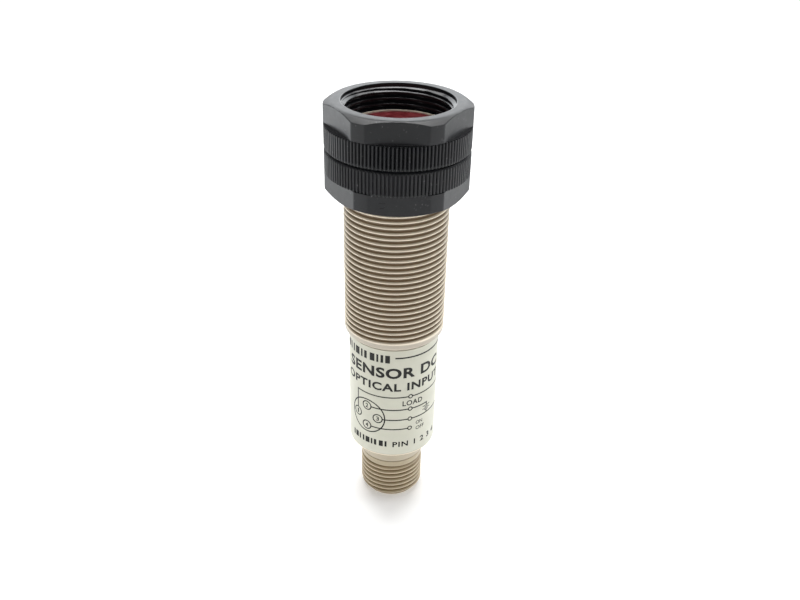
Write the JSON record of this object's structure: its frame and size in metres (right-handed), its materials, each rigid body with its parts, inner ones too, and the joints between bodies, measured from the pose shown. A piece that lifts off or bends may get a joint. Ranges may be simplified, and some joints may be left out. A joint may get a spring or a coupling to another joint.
{
  "type": "photoelectric sensor",
  "caption": "Cylindrical photoelectric sensor with a threaded barrel, recessed front lens, two knurled hexagon clamping nuts and a threaded male plug end.",
  "frame": {"origin": "on the sensor's axis, at the flat end face of the connector that it stands on", "axes": "+Z along the sensor's axis from the connector end to the lens end, -Y towards the middle of the label's print, +X to the right when looking at the print"},
  "size_m": [0.0242, 0.0242, 0.0785],
  "materials": {
    "housing": "moulded beige plastic, satin",
    "label": "pale cream-green printed film, satin",
    "lens_window": "dark red tinted plastic, polished",
    "rubber": "black nitrile rubber",
    "connector": "moulded beige plastic, slightly darker than the housing",
    "contact_insert": "black moulded plastic",
    "nut": "black moulded plastic, satin sheen",
    "optic_black": "dull black plastic",
    "clear_optic": "clear moulded optical plastic",
    "led_epoxy": "red tinted clear epoxy",
    "diode_epoxy": "dark tinted epoxy",
    "tinned_shield": "tinned sheet steel",
    "circuit_board": "green solder mask on fibreglass board",
    "chip": "black epoxy moulding compound",
    "capacitor": "tan moulded capacitor body",
    "resistor": "dark ceramic chip body",
    "indicator": "amber clear epoxy",
    "light_guide": "milky translucent plastic",
    "potting": "black cast resin",
    "gold_contact": "gold plated brass"
  },
  "bodies": {
    "sensor": {"connector_shell": "connector", "contact_carrier": "contact_insert", "contact_pin_1": "gold_contact", "contact_pin_2": "gold_contact", "contact_pin_3": "gold_contact", "contact_pin_4": "gold_contact", "control_ic": "chip", "emitter_led": "led_epoxy", "emitter_lens": "clear_optic", "filter_capacitor": "capacitor", "front_lens": "lens_window", "housing_barrel": "housing", "indicator_led": "indicator", "indicator_window": "light_guide", "led_resistor": "resistor", "lens_seal": "rubber", "main_pcb": "circuit_board", "neck_seal": "rubber", "optical_holder": "optic_black", "optics_pcb": "circuit_board", "output_transistor": "chip", "protection_diode": "chip", "rear_potting": "potting", "receiver_lens": "clear_optic", "receiver_photodiode": "diode_epoxy", "receiver_shield": "tinned_shield", "sense_resistor": "resistor", "supply_capacitor": "capacitor", "type_label": "label", "voltage_regulator": "chip"},
    "upper_nut_carrier": {"upper_nut_seat_ring": "nut"},
    "upper_nut": {"upper_nut": "nut"},
    "lower_nut_carrier": {"lower_nut_seat_ring": "nut"},
    "lower_nut": {"lower_nut": "nut"}
  },
  "joints": [
    {"name": "upper_nut_travel", "type": "slide", "parent": "sensor", "child": "upper_nut_carrier", "axis": [0, 0, 1], "range_m": [0, 0.003]},
    {"name": "upper_nut_turn", "type": "hinge", "parent": "upper_nut_carrier", "child": "upper_nut", "pos_m": [0, 0, 0.0747], "axis": [0, 0, 1], "range_deg": [0, 1080]},
    {"name": "lower_nut_travel", "type": "slide", "parent": "sensor", "child": "lower_nut_carrier", "axis": [0, 0, 1], "range_m": [-0.0235, 0]},
    {"name": "lower_nut_turn", "type": "hinge", "parent": "lower_nut_carrier", "child": "lower_nut", "pos_m": [0, 0, 0.0668], "axis": [0, 0, 1], "range_deg": [-8460, 0]}
  ],
  "couplings": [
    {"joint": "upper_nut_turn", "follows": "upper_nut_travel", "rad_per_m": 6283.2},
    {"joint": "lower_nut_turn", "follows": "lower_nut_travel", "rad_per_m": 6283.2}
  ]
}
